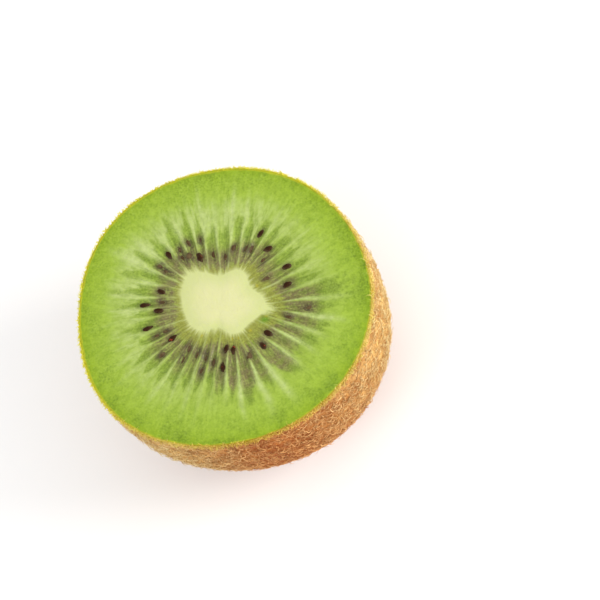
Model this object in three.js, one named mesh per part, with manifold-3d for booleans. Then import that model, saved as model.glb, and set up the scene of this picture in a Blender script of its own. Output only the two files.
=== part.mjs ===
// Half of a kiwi fruit, standing on the dry scar at its end with the cut face up.
// Millimetres and degrees. +Z is up, the floor is Z = 0, +X lies along the wider diameter of the cut,
// and the origin is under the middle of the fruit's box.
import * as THREE from "three";
import { mergeVertices } from "three/addons/utils/BufferGeometryUtils.js";
import Module from "manifold-3d";

// ---- Body ----
const CUT_RADIUS = 26; // mean radius of the cut face
const CUT_HEIGHT = 33.2; // from the floor to the cut face
const WIDEST_RADIUS = 26.05; // mean radius of the widest ring
const WIDEST_BELOW_CUT = 4.1; // the widest ring lies this far under the cut
const DOME_POWER = 2.67; // fullness of the round end: 2 is an ellipse, more is squarer
const DOME_RINGS = 9;
const SKIN_EDGE = 0.25; // rounding of the skin's edge at the cut
const FLESH_RADIUS = CUT_RADIUS - SKIN_EDGE; // mean radius of the flat of the cut

// Waves round the outline: how many, their height as a share of the radius, and where one crests.
const OUTLINE_WAVES = [
  { count: 2, share: 0.0207, crest: -10.1 },
  { count: 3, share: 0.0089, crest: -4.8 },
  { count: 4, share: 0.0092, crest: -35.6 },
  { count: 5, share: 0.0039, crest: 1.1 },
];

// ---- End scar, the foot that the half stands on ----
const SCAR_RADIUS = 4.4;
const SCAR_EDGE = 0.3; // rounding of its rim
const SCAR_PROUD = 0.8; // it stands this far out of the round end
const DIMPLE_RADIUS = 7.4; // the skin draws in round the scar from here
const DIMPLE_DEPTH = 0.5;
const DIMPLE_FLOOR = 0.5; // width of the furrow's floor

// ---- Pale core ----
const CORE_RADIUS = 6.5; // mean radius of its uneven outline
const CORE_CROWN = 0.3; // its middle stands this far above the cut
const CORE_WAVES = [
  { count: 1, share: 0.145, crest: 101.6 },
  { count: 2, share: 0.178, crest: -14 },
  { count: 4, share: 0.048, crest: -36.8 },
  { count: 5, share: 0.086, crest: -1.7 },
  { count: 6, share: 0.042, crest: 1.9 },
];

// ---- Seed chambers round the core, parted by thin walls ----
const CHAMBERS = 38;
const SEGMENTS_PER_CHAMBER = 4;
const FIRST_WALL = 8.8;
const WALL_JITTER = 5;
const WALL_DRAWS = 791073; // starts the draws for the walls
const WALL_LEAN = 0.2; // how strongly the walls gather at the core's corners

// Waves round the ring by which the walls spread and crowd: how many, their angle, and where one crests.
const WALL_SWAYS = [
  { count: 1, sway: 3.7, crest: 72 },
  { count: 2, sway: 3, crest: 22 },
];

const CHAMBER_DEPTH = 0.4; // the soft flesh of a chamber sinks this far below its walls
const CHAMBER_DEEPEST = 0.28; // where it is deepest, as a share of the way from core to skin
const TIP_SHARE = 0.62; // where a chamber ends, as the same share
const TIP_SWAY = 0.07; // the chambers towards TIP_LONGEST reach further
const TIP_LONGEST = -50;
const FLESH_RINGS = [0.1, 0.26, 0.42, 0.6, 0.8];

// ---- Pips, in two rings ----
// A chart has one sign for each chamber: # a pip that stands out, o one that is sunk in, . none.
const OUTER_RING = {
  chart: ".#.#.#....ooo#o..#.#o.o.o.oo#.......o.",
  share: 0.34,
  shiftX: 0.023,
  shiftY: 0.004,
  draws: 6380608,
};
const INNER_RING = {
  chart: "#o.o.ooooo#oo.o.#o#.o#..ooo.##.o##.o..",
  share: 0.194,
  shiftX: -0.004,
  shiftY: 0.002,
  draws: 131415,
};
const PIP_PROUD = { "#": 0.3, o: 0.1 }; // top of a pip above the flesh beside it
const RING_SPREAD = 0.12; // how far apart along a chamber pips of one ring may lie, as a share
const SIDE_SPREAD = 0.7; // how far apart across a chamber, in chambers
const PIP_LENGTH = 2.05;
const PIP_WIDTH = 1.15;
const PIP_THICKNESS = 1;
const PIP_TAPER = 0.32; // how much narrower the end towards the core is
const PIP_SIZE_SPREAD = 0.3; // pips differ in size by this share
const PIP_TURN_SPREAD = 50; // and in direction by this angle
const PIP_SIDES = 6;
const PIP_BANDS = 4;

const FLESH_COLOUR = 0xa3bd52;

const { degToRad, lerp, smoothstep } = THREE.MathUtils;
const manifoldLibrary = await Module();
manifoldLibrary.setup();

// Park and Miller's generator: the same numbers from 0 to 1 on every run.
function drawsFrom(start) {
  let state = start;
  return () => {
    state = (state * 48271) % 2147483647;
    return state / 2147483647;
  };
}

// Radius of a circle of radius 1 with waves round it, at an angle in radians.
function wavyRadius(waves, angle) {
  const wave = ({ count, share, crest }) => share * Math.cos(count * (angle - degToRad(crest)));
  return waves.reduce((sum, each) => sum + wave(each), 1);
}

// How fast that radius grows with the angle, as a share of the radius.
function wavySlope(waves, angle) {
  const slope = ({ count, share, crest }) => {
    return -share * count * Math.sin(count * (angle - degToRad(crest)));
  };
  return waves.reduce((sum, each) => sum + slope(each), 0) / wavyRadius(waves, angle);
}

function polar(radius, angle, height) {
  return new THREE.Vector3(radius * Math.cos(angle), radius * Math.sin(angle), height);
}

// Angles of the walls between the chambers, in radians, with the first repeated a turn later.
function wallAngles() {
  const draw = drawsFrom(WALL_DRAWS);
  const angles = Array.from({ length: CHAMBERS }, (_, index) => {
    const even = FIRST_WALL + (360 * index) / CHAMBERS;
    const swayOf = ({ count, sway, crest }) => sway * Math.cos(count * degToRad(even - crest));
    const swayed = WALL_SWAYS.reduce((sum, each) => sum + swayOf(each), even);
    return degToRad(swayed + WALL_JITTER * (draw() - 0.5));
  });
  return [...angles, angles[0] + 2 * Math.PI];
}

const WALLS = wallAngles();

// The angle at a place round the ring counted in chambers, so that 2.5 is the middle of chamber 2.
function chamberAngle(place) {
  const chamber = Math.min(Math.floor(place), CHAMBERS - 1);
  return lerp(WALLS[chamber], WALLS[chamber + 1], place - chamber);
}

// How deep the flesh lies below the cut, from the core (share 0) to the skin (share 1).
function chamberDepth(place, share) {
  const tip = TIP_SHARE + TIP_SWAY * Math.cos(chamberAngle(place) - degToRad(TIP_LONGEST));
  const sinking = smoothstep(share, 0, CHAMBER_DEEPEST);
  const rising = smoothstep(share, CHAMBER_DEEPEST, tip);
  const acrossChamber = Math.sin(Math.PI * place) ** 2;
  return CHAMBER_DEPTH * sinking * (1 - rising) * acrossChamber;
}

// Where the chamber line at a place meets the core's outline.
function coreEdgePoint(place) {
  const angle = chamberAngle(place);
  const leaning = angle + WALL_LEAN * wavySlope(CORE_WAVES, angle);
  return polar(CORE_RADIUS * wavyRadius(CORE_WAVES, leaning), leaning, CUT_HEIGHT);
}

// A point of the core, from its middle (share 0) to its outline (share 1).
function corePoint(place, share) {
  const edge = coreEdgePoint(place);
  return new THREE.Vector3(edge.x * share, edge.y * share, CUT_HEIGHT + CORE_CROWN * (1 - share ** 2));
}

// A point of the cut flesh on the straight line from the core (share 0) to the skin (share 1).
function fleshPoint(place, share) {
  const angle = chamberAngle(place);
  const skinEdge = polar(FLESH_RADIUS * wavyRadius(OUTLINE_WAVES, angle), angle, CUT_HEIGHT);
  const point = coreEdgePoint(place).lerp(skinEdge, share);
  point.z -= chamberDepth(place, share);
  return point;
}

// A point of the skin: round at the scar, and as uneven as the outline at the widest ring.
function skinPoint(place, radius, height) {
  const angle = chamberAngle(place);
  const unevenness = smoothstep(radius, SCAR_RADIUS, WIDEST_RADIUS);
  return polar(radius * lerp(1, wavyRadius(OUTLINE_WAVES, angle), unevenness), angle, height);
}

// Half section of the skin, from the middle of the foot out over the round end and up to the cut.
function skinSection() {
  const widestHeight = CUT_HEIGHT - WIDEST_BELOW_CUT;
  const domeDepth = widestHeight - SCAR_PROUD;
  const lowestAngle = Math.acos((DIMPLE_RADIUS / WIDEST_RADIUS) ** (DOME_POWER / 2));
  const furrowHeight = SCAR_PROUD + DIMPLE_DEPTH;
  const foot = [
    [0, 0],
    [SCAR_RADIUS - SCAR_EDGE, 0],
    [SCAR_RADIUS, SCAR_EDGE],
    [SCAR_RADIUS, furrowHeight],
    [SCAR_RADIUS + DIMPLE_FLOOR, furrowHeight],
  ];
  const dome = Array.from({ length: DOME_RINGS + 1 }, (_, ring) => {
    const angle = lowestAngle * (1 - ring / DOME_RINGS);
    const radius = WIDEST_RADIUS * Math.cos(angle) ** (2 / DOME_POWER);
    return [radius, widestHeight - domeDepth * Math.sin(angle) ** (2 / DOME_POWER)];
  });
  return [...foot, ...dome, [CUT_RADIUS, CUT_HEIGHT - SKIN_EDGE]];
}

// The body as a round turning, whose rings are then moved to their places on the uneven fruit.
function bodyGeometry() {
  const skin = skinSection().map(([radius, height]) => {
    return { radius, height, place: (place) => skinPoint(place, radius, height) };
  });
  const flesh = [1, ...FLESH_RINGS.toReversed(), 0].map((share) => {
    const radius = lerp(CORE_RADIUS, FLESH_RADIUS, share);
    return { radius, height: CUT_HEIGHT, place: (place) => fleshPoint(place, share) };
  });
  const core = [0.5, 0].map((share) => {
    const radius = CORE_RADIUS * share;
    return { radius, height: CUT_HEIGHT, place: (place) => corePoint(place, share) };
  });
  const rings = [...skin, ...flesh, ...core];
  const section = rings.map(({ radius, height }) => new THREE.Vector2(radius, height));
  const segments = CHAMBERS * SEGMENTS_PER_CHAMBER;
  const geometry = new THREE.LatheGeometry(section, segments);
  const position = geometry.attributes.position;
  for (let index = 0; index < position.count; index += 1) {
    const segment = Math.floor(index / rings.length) % segments;
    const ring = rings[index % rings.length];
    const { x, y, z } = ring.place(segment / SEGMENTS_PER_CHAMBER);
    position.setXYZ(index, x, y, z);
  }
  return geometry;
}

// A drop-shaped pip lying along +X, its narrow end towards -X, with its middle at the origin.
function pipGeometry(size) {
  const geometry = new THREE.SphereGeometry(0.5, PIP_SIDES, PIP_BANDS);
  geometry.rotateZ(-Math.PI / 2);
  const position = geometry.attributes.position;
  for (let index = 0; index < position.count; index += 1) {
    const along = position.getX(index);
    const girth = size * (1 + 2 * PIP_TAPER * Math.min(along, 0));
    const y = position.getY(index) * PIP_WIDTH * girth;
    const z = position.getZ(index) * PIP_THICKNESS * girth;
    position.setXYZ(index, along * PIP_LENGTH * size, y, z);
  }
  return geometry;
}

// The pips of one ring, each set into the flesh of its chamber and pointing along it.
function ringOfPips({ chart, share, shiftX, shiftY, draws }) {
  const draw = drawsFrom(draws);
  const pips = [];
  for (let chamber = 0; chamber < CHAMBERS; chamber += 1) {
    const sign = chart[chamber];
    if (sign === ".") continue;
    const alongDraw = draw() - 0.5;
    const sideDraw = draw() - 0.5;
    const lookDraw = draw() - 0.5;
    const middle = chamberAngle(chamber + 0.5);
    const ringShare = share + shiftX * Math.cos(middle) + shiftY * Math.sin(middle);
    const place = chamber + 0.5 + SIDE_SPREAD * sideDraw;
    const spot = fleshPoint(place, ringShare + RING_SPREAD * alongDraw);
    const line = fleshPoint(place, 1).sub(fleshPoint(place, 0));
    const size = 1 + PIP_SIZE_SPREAD * lookDraw;
    const pip = pipGeometry(size);
    pip.rotateZ(Math.atan2(line.y, line.x) + degToRad(PIP_TURN_SPREAD) * lookDraw);
    pip.translate(spot.x, spot.y, spot.z + PIP_PROUD[sign] - (PIP_THICKNESS * size) / 2);
    pips.push(pip);
  }
  return pips;
}

// A closed geometry as a solid that can be joined to others.
function solidOf(geometry) {
  const bare = geometry.clone();
  bare.deleteAttribute("normal");
  bare.deleteAttribute("uv");
  const merged = mergeVertices(bare, 1e-4);
  const vertProperties = merged.attributes.position.array;
  const triVerts = new Uint32Array(merged.index.array);
  const mesh = new manifoldLibrary.Mesh({ numProp: 3, vertProperties, triVerts });
  return new manifoldLibrary.Manifold(mesh);
}

function geometryOf(solid) {
  const { vertProperties, triVerts } = solid.getMesh();
  const geometry = new THREE.BufferGeometry();
  geometry.setAttribute("position", new THREE.BufferAttribute(vertProperties, 3));
  geometry.setIndex(new THREE.BufferAttribute(triVerts, 1));
  return geometry;
}

// Body and pips in one solid, moved so that its box stands over the origin.
function halfGeometry() {
  const pips = [...ringOfPips(OUTER_RING), ...ringOfPips(INNER_RING)];
  const joined = pips.reduce((solid, pip) => solid.add(solidOf(pip)), solidOf(bodyGeometry()));
  const geometry = geometryOf(joined);
  geometry.computeBoundingBox();
  const middle = geometry.boundingBox.getCenter(new THREE.Vector3());
  geometry.translate(-middle.x, -middle.y, 0);
  geometry.computeVertexNormals();
  return geometry;
}

const material = new THREE.MeshStandardMaterial({
  color: FLESH_COLOUR,
  roughness: 0.4,
  metalness: 0,
});
const half = new THREE.Mesh(halfGeometry(), material);
half.name = "kiwi_half";

const fruit = new THREE.Group();
fruit.add(half);

export default fruit;
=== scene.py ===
"""Half of a kiwi fruit: moist green cut face, dark pips, thin brown skin, fuzz and the scar it stands on.

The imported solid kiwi_half gives the form, and finer meshes stand for it here. Lengths in the formulas are
millimetres, and the meshes are in metres. A point of the cut face is given by its place round the ring,
counted in seed chambers (2.5 is the middle of chamber 2), and by its share of the way: -1 is the middle of
the core, 0 the core's outline and 1 the skin.
"""

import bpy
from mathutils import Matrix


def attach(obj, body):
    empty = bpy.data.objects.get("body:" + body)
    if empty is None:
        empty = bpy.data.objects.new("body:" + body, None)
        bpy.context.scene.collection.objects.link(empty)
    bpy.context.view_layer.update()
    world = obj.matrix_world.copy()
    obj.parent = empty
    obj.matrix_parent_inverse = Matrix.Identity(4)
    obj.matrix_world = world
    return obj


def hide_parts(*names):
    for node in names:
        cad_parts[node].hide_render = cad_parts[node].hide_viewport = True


bl_info = {
    "name": "Kiwi fruit half",
    "version": (1, 0, 0),
    "blender": (4, 5, 0),
    "location": "3D View > Sidebar > Kiwi",
    "description": "Makes the flesh, pips, skin, fuzz and end scar of a cut kiwi fruit",
    "category": "Object",
}

import math

import bpy
import numpy as np
from bpy.props import FloatProperty, FloatVectorProperty, IntProperty, PointerProperty
from mathutils import Matrix, Vector

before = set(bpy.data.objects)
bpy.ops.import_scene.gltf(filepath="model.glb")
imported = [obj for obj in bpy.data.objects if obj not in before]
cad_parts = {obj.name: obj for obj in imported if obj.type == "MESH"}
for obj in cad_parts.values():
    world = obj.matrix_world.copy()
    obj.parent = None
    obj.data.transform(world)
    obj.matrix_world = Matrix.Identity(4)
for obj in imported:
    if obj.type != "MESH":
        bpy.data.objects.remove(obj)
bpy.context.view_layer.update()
MM = 0.001

# ---- Form, the same numbers as the solid ----
CUT_RADIUS = 26.0
CUT_HEIGHT = 33.2
WIDEST_RADIUS = 26.05
WIDEST_BELOW_CUT = 4.1
DOME_POWER = 2.67
SKIN_EDGE = 0.25
FLESH_RADIUS = CUT_RADIUS - SKIN_EDGE
OUTLINE_WAVES = ((2, 0.0207, -10.1), (3, 0.0089, -4.8), (4, 0.0092, -35.6), (5, 0.0039, 1.1))
SCAR_RADIUS = 4.4
SCAR_PROUD = 0.8
DIMPLE_RADIUS = 7.4
DIMPLE_DEPTH = 0.5
DIMPLE_FLOOR = 0.5
CORE_RADIUS = 6.5
CORE_CROWN = 0.3
CORE_WAVES = ((1, 0.145, 101.6), (2, 0.178, -14), (4, 0.048, -36.8), (5, 0.086, -1.7), (6, 0.042, 1.9))
CHAMBERS = 38
SOLID_SEGMENTS = 152
FIRST_WALL = 8.8
WALL_JITTER = 5
WALL_DRAWS = 791073
WALL_LEAN = 0.2
WALL_SWAYS = ((1, 3.7, 72), (2, 3, 22))
CHAMBER_DEPTH = 0.4
CHAMBER_DEEPEST = 0.28
TIP_SHARE = 0.62
TIP_SWAY = 0.07
TIP_LONGEST = -50
PIP_RINGS = (  # chart (# stands out, o is sunken), share, shift of the ring along x and y, start of its draws
    (".#.#.#....ooo#o..#.#o.o.o.oo#.......o.", 0.34, (0.023, 0.004), 6380608),
    ("#o.o.ooooo#oo.o.#o#.o#..ooo.##.o##.o..", 0.194, (-0.004, 0.002), 131415),
)
PIP_PROUD = {"#": 0.3, "o": 0.1}
RING_SPREAD = 0.12
SIDE_SPREAD = 0.7
PIP_TAPER = 0.32
PIP_SIZE_SPREAD = 0.3
PIP_TURN_SPREAD = 50

# ---- Looks of the single chambers and walls, one digit for each ----
BODY_CHART = "44444425233443443333455455645455545669"  # how far out a chamber's broad part comes
REACH_CHART = "65454685115997879927286653456996836789"  # how far out its narrow tip comes
TIP_CHART = "44434463524445488885586787665445854555"  # to which side its tip leans, 5 is straight
DUSK_CHART = "44344333234333323333455455657887876777"  # how far out its dusky part goes
WALL_CHART = "34232468998999998762524364522999969799"  # how pale the wall before it is past the pips
ROOT_CHART = "57101204865523541232512115403103406455"  # and how pale it is beside the pips
BEND_CHART = "44202377383024329954276374453228396866"  # to which side it bends, 5 is straight

# ---- Looks of single places and sides. A spot is given by its place and share ----
ZEST_SPOTS = ((1.6, 0.045), (25.2, 0.045), (29.6, 0.04), (30.8, 0.04), (32.8, 0.05), (34.9, 0.05))
CORE_SPURS = (  # place, width and rise of the core's outline there
    (8.3, 1.0, 0.015),
    (12.8, 1.8, 0.05),
    (26.5, 1.6, 0.035),
    (34.5, 0.8, -0.04),
    (36.2, 1.0, 0.09),
)
GREEN_SPOT = (34.45, 0.06)
GREEN_PATCH = (37.5, 0.64)
WIDE_GAPS = ((14.5, 0.4), (31, 0.12))  # round these places the pale walls widen more
SUNNY_SIDE = 130  # the flesh is paler and brighter towards this angle
OLIVE_SIDE = 125  # the olive fibres round the core are shortest towards this angle
GOLDEN_SIDE = 136  # the cut's edge is yellow towards this angle
SHADED_BROWN_SIDE = -72  # the skin is darker towards this angle: browner skin and painted shade
SHADED_BROWN_SPREAD = (26, 44)  # degrees that the darker skin and painted shade reach back and on from there
SHADED_BROWN_DEPTH = 0.88  # the part of its lightness that the skin loses there
SHADED_BROWN_RISE = 5  # how much higher it lightens there
UPPER_SKIN = (0, 20)  # between these heights the skin lightens
FRINGE_SKIN = (31.8, 32.7)  # and between these it turns yellow
STANDING = 0.65  # a hair rises no further than this above the skin

# ---- Fineness of the meshes ----
FACE_COLUMNS = 16  # to a chamber
CORE_RINGS = 22
FLESH_RINGS = 120
FACE_END = 1.003  # the share at which the face ends, just under the skin's edge
INNER_RINGS = 14
SKIN_SIDES = 420
SKIN_RINGS = 150
SKIN_INNER_RINGS = 24
SCAR_SIDES = 132
PIP_ROWS = 14
PIP_SIDES = 24

# ---- Stage. Azimuth 0 is +X and 90 is +Y; lights and floor are in metres, the camera in millimetres ----
LIGHT_ELEVATION = 24
LIGHT_AWAY = 0.45
LIGHT_SIZE = 0.22
LIGHT_AIM = 0.018  # the height that the lights face
FLOOR_HALF = 0.6
CAMERA_AZIMUTH = -51
CAMERA_ELEVATION = 64.7
CAMERA_AWAY = 686
CAMERA_AIM = (0.716, -0.216)  # on the cut, from the fruit's axis
CAMERA_SHIFT = (12.7, 1.17)  # to the right and up from there, as the camera sees it
CAMERA_LENS = 240
CAMERA_SENSOR = 36


def paint(red, green, blue):
    """Linear colour of display steps from 0 to 255: ((c/255 + 0.055)/1.055)^2.4."""
    return tuple(((step / 255 + 0.055) / 1.055) ** 2.4 for step in (red, green, blue))


# ---- Sizes and colours that a user would change ----
def length(name, description, default):
    """A length in metres, given in millimetres."""
    return FloatProperty(name=name, description=description, default=default * MM, min=0, unit="LENGTH")


def colour(name, description, *steps):
    return FloatVectorProperty(
        name=name, description=description, default=paint(*steps), subtype="COLOR", size=3, min=0, max=1
    )


def number(name, description, default, most=10):
    return FloatProperty(name=name, description=description, default=default, min=0, max=most)


def amount(name, default):
    return IntProperty(name=name, description="Number of these hairs", default=default, min=0)


class FleshSettings(bpy.types.PropertyGroup):
    core: colour("Core", "Cream middle of the core", 211, 211, 156)
    core_edge: colour("Core edge", "Outer part of the core", 198, 204, 138)
    wall: colour("Walls", "Thin walls between the chambers", 188, 202, 130)
    olive: colour("Olive band", "Fibres round the core", 142, 145, 58)
    dusk: colour("Dusk", "Grey-brown gel round the pips", 122, 109, 72)
    # painted shadow round the pips that stand out, and gel darkened over the sunken pips
    pip_shadow_and_dark_gel: colour("Halo", "Gel darkened by a pip", 78, 62, 40)
    dots: colour("Dots", "Shade of the small dots, a factor on the flesh", 212, 218, 198)
    strands: colour("Strands", "Shade of the fine strands, a factor on the flesh", 226, 231, 210)
    # light also paints the glints: light specks that stand for highlights on the wet flesh
    light: colour("Light strands", "Light grains and strands of the flesh", 170, 194, 84)
    chamber: colour("Chambers", "Dark green of the seed chambers", 121, 144, 42)
    pulp_inner: colour("Inner pulp", "Flesh between the chambers", 150, 173, 62)
    pulp_middle: colour("Middle pulp", "Flesh past the chambers' tips", 156, 182, 60)
    pulp_outer: colour("Outer pulp", "Flesh next to the skin", 143, 171, 27)
    under_skin: colour("Under the skin", "Thin darker layer next to the skin", 138, 166, 14)
    rind: colour("Rind", "Yellow edge of the cut where the skin begins", 180, 184, 30)
    zest: colour("Zest", "Small yellow flecks round the core", 176, 166, 24)
    moss: colour("Moss", "Vivid green fleck at the core's tip", 96, 138, 12)
    wetness: number("Roughness", "Roughness of the moist cut", 0.45, most=1)
    grain: length("Grain", "Size of the flesh's fine grain", 0.36)


class PipSettings(bpy.types.PropertyGroup):
    length: length("Length", "Length of a middling pip", 2.05)
    width: length("Width", "Width of a middling pip", 1.15)
    thickness: length("Thickness", "Thickness of a middling pip", 1.0)
    shell: colour("Shell", "Black-brown shell", 48, 24, 2)
    # glint: a painted highlight, small red spots of light on the wet shell
    glint: colour("Glint", "Small redder spots", 146, 54, 34)
    veiled: colour("Veiled", "Pips that are sunk in the gel", 76, 58, 34)
    veil: colour("Veil", "Gel over the sunken pips", 98, 82, 54)
    gel: colour("Gel", "Gel that clings to a pip's edge", 86, 71, 48)


class SkinSettings(bpy.types.PropertyGroup):
    thickness: length("Thickness", "Thickness of the skin", 0.35)
    base: colour("Skin", "Brown of the bare skin", 184, 104, 44)
    # the light side's gold is partly painted light
    upper: colour("Upper skin", "Golden brown of the skin's light side", 218, 180, 108)
    dark: colour("Dark mottling", "Shade of the blotches, a factor on the skin", 216, 192, 172)
    lip: colour("Cut edge", "Yellow-green cut edge of the skin", 188, 188, 44)
    scar: colour("Scar", "Dry woody end scar", 112, 82, 52)
    # scar_dark is also the painted shade in the scar's hollows and creases
    scar_dark: colour("Scar furrows", "Furrows of the scar", 62, 42, 27)


class FuzzSettings(bpy.types.PropertyGroup):
    down_count: amount("Short down", 15500)
    curl_count: amount("Curls", 8000)
    long_count: amount("Long hairs", 9000)
    lock_count: amount("Thick pale locks", 5200)
    fringe_count: amount("Fringe along the cut", 2200)
    # the light side's hair colours are partly painted light, and the brown side's partly painted shade
    root: colour("Dark hairs", "Darkest hairs of the brown side", 164, 86, 36)
    upper_root: colour("Light side's dark hairs", "Darkest hairs of the light side", 203, 157, 92)
    low: colour("Brown side's hairs", "Light hairs of the brown side", 255, 196, 124)
    tip: colour("Light side's hairs", "Light hairs of the light side", 240, 228, 172)
    fringe: colour("Fringe", "Yellow hairs along the cut", 232, 226, 66)


class StageSettings(bpy.types.PropertyGroup):
    floor: colour("Floor", "Plain pale floor", 250, 250, 250)
    key: number("Key light", "Power of the key light in watts", 1.7)
    fill: number("Fill light", "Power of the fill light in watts", 0.7)
    sky: number("Sky", "Strength of the even white surroundings", 0.87)


SETTINGS = {
    "kiwi_flesh": FleshSettings,
    "kiwi_pips": PipSettings,
    "kiwi_skin": SkinSettings,
    "kiwi_fuzz": FuzzSettings,
    "kiwi_stage": StageSettings,
}


# ---- Small sums ----
def draws(start, count):
    """Numbers from 0 to 1: each state is the last one times 48271, modulo 2147483647."""
    states, state = [], start
    for _ in range(count):
        state = state * 48271 % 2147483647
        states.append(state / 2147483647)
    return np.array(states)


def smooth(value, low, high):
    """3t^2 - 2t^3, where t runs from 0 at low to 1 at high."""
    t = np.clip((value - low) / (high - low), 0, 1)
    return t * t * (3 - 2 * t)


def wavy(waves, angle):
    """1 + the sum of share * cos(count * (angle - crest))."""
    return 1 + sum(share * np.cos(count * (angle - math.radians(crest))) for count, share, crest in waves)


def wavy_slope(waves, angle):
    """Growth of that radius with the angle, as a share of it: -sum(share * count * sin(...)) / radius."""
    slopes = (share * n * np.sin(n * (angle - math.radians(crest))) for n, share, crest in waves)
    return -sum(slopes) / wavy(waves, angle)


LATTICE = np.random.default_rng(11).random((256, 256)) * 2 - 1


def noise(u, v, seed=0, period=256):
    """Random values from -1 to 1 at whole u and v, blended by 3t^2 - 2t^3; u repeats after period."""
    u, v = np.broadcast_arrays(u, v)
    left, low = np.floor(u).astype(int), np.floor(v).astype(int)
    across, up = smooth(u - left, 0, 1), smooth(v - low, 0, 1)
    columns = (left % period, (left + 1) % period)
    rows = ((low + 37 * seed) % 256, (low + 37 * seed + 1) % 256)
    lower = LATTICE[columns[0], rows[0]] * (1 - across) + LATTICE[columns[1], rows[0]] * across
    upper = LATTICE[columns[0], rows[1]] * (1 - across) + LATTICE[columns[1], rows[1]] * across
    return lower * (1 - up) + upper * up


def layered(u, v, seed=0, layers=3):
    """Sum of noise(2^k u, 2^k v) / 2^k."""
    return sum(noise(u * 2**k, v * 2**k, seed + k) / 2**k for k in range(layers))


def wall_angles():
    """Each wall: even step + sways * cos(count * (even - crest)) + jitter * (draw - 1/2), in radians."""
    even = FIRST_WALL + 360 * np.arange(CHAMBERS) / CHAMBERS
    swayed = even + sum(sway * np.cos(n * np.radians(even - crest)) for n, sway, crest in WALL_SWAYS)
    angles = np.radians(swayed + WALL_JITTER * (draws(WALL_DRAWS, CHAMBERS) - 0.5))
    return np.append(angles, angles[0] + 2 * math.pi)


WALLS = wall_angles()


def chamber_angle(place):
    """Angle at a place: the walls' angles at whole numbers, evenly between them."""
    return np.interp(np.mod(place, CHAMBERS), np.arange(CHAMBERS + 1), WALLS)


def fruit_axis():
    """Where the fruit's own axis stands: minus the middle of the widest ring's box."""
    angle = chamber_angle(np.arange(SOLID_SEGMENTS) * CHAMBERS / SOLID_SEGMENTS)
    radius = WIDEST_RADIUS * wavy(OUTLINE_WAVES, angle)
    x, y = radius * np.cos(angle), radius * np.sin(angle)
    return np.array([-(x.min() + x.max()) / 2, -(y.min() + y.max()) / 2])


AXIS = fruit_axis()


def on_axis(height):
    """The one point of that height on the fruit's axis."""
    return np.array([[*AXIS, height]])


# ---- Meshes ----
def closed_forms(name, rings, first, last):
    """One mesh of closed forms. rings (forms, rings, sides, 3) are joined by faces of four corners, and
    triangles close the first and last ring of each form to the points first and last (forms, 3)."""
    forms, rows, sides, _ = rings.shape
    points = np.concatenate([rings.reshape(forms, -1, 3), first[:, None], last[:, None]], axis=1)
    row, side = np.meshgrid(np.arange(rows - 1), np.arange(sides), indexing="ij")
    after = (side + 1) % sides
    corners = (row * sides + side, (row + 1) * sides + side, (row + 1) * sides + after, row * sides + after)
    quads = np.stack(corners, axis=-1).reshape(-1, 4)
    around = np.arange(sides)
    following = (around + 1) % sides
    start, end, top = rows * sides, rows * sides + 1, (rows - 1) * sides
    opening = np.stack([np.full(sides, start), around, following], axis=-1)
    closing = np.stack([top + around, np.full(sides, end), top + following], axis=-1)
    steps = (np.arange(forms) * points.shape[1])[:, None, None]
    quads = (quads + steps).reshape(-1, 4)
    triangles = (np.concatenate([opening, closing]) + steps).reshape(-1, 3)
    mesh = bpy.data.meshes.new(name)
    mesh.from_pydata((points.reshape(-1, 3) * MM).tolist(), [], quads.tolist() + triangles.tolist())
    mesh.shade_smooth()
    piece = bpy.data.objects.new(name, mesh)
    bpy.context.scene.collection.objects.link(piece)
    return piece


def keep_values(piece, name, rings, first=0, last=0):
    """Writes one number for each point, in the order of closed_forms."""
    forms = rings.shape[0]
    ends = [np.broadcast_to(end, forms)[:, None] for end in (first, last)]
    values = np.concatenate([rings.reshape(forms, -1), *ends], axis=1)
    attribute = piece.data.attributes.new(name, "FLOAT", "POINT")
    attribute.data.foreach_set("value", values.ravel().astype(np.float32))


def keep_fibre(piece, place, share, hidden):
    """Writes each point's fibre coordinates (K cos(turn), K sin(turn), 9 share), where turn is the place as a
    part of the whole ring and K gives 6 steps to a chamber."""
    turn = place * 2 * math.pi / CHAMBERS
    circle = 6 * CHAMBERS / (2 * math.pi)
    shown = np.stack([circle * np.cos(turn), circle * np.sin(turn), 9 * share], axis=-1).reshape(-1, 3)
    vectors = np.concatenate([shown, np.zeros((hidden, 3))])
    attribute = piece.data.attributes.new("fibre", "FLOAT_VECTOR", "POINT")
    attribute.data.foreach_set("vector", vectors.ravel().astype(np.float32))


def settle(piece, material):
    """The piece stands for the solid, rides on its body and takes its material."""
    piece.data.materials.append(material)
    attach(piece, "root")
    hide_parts("kiwi_half")


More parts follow.
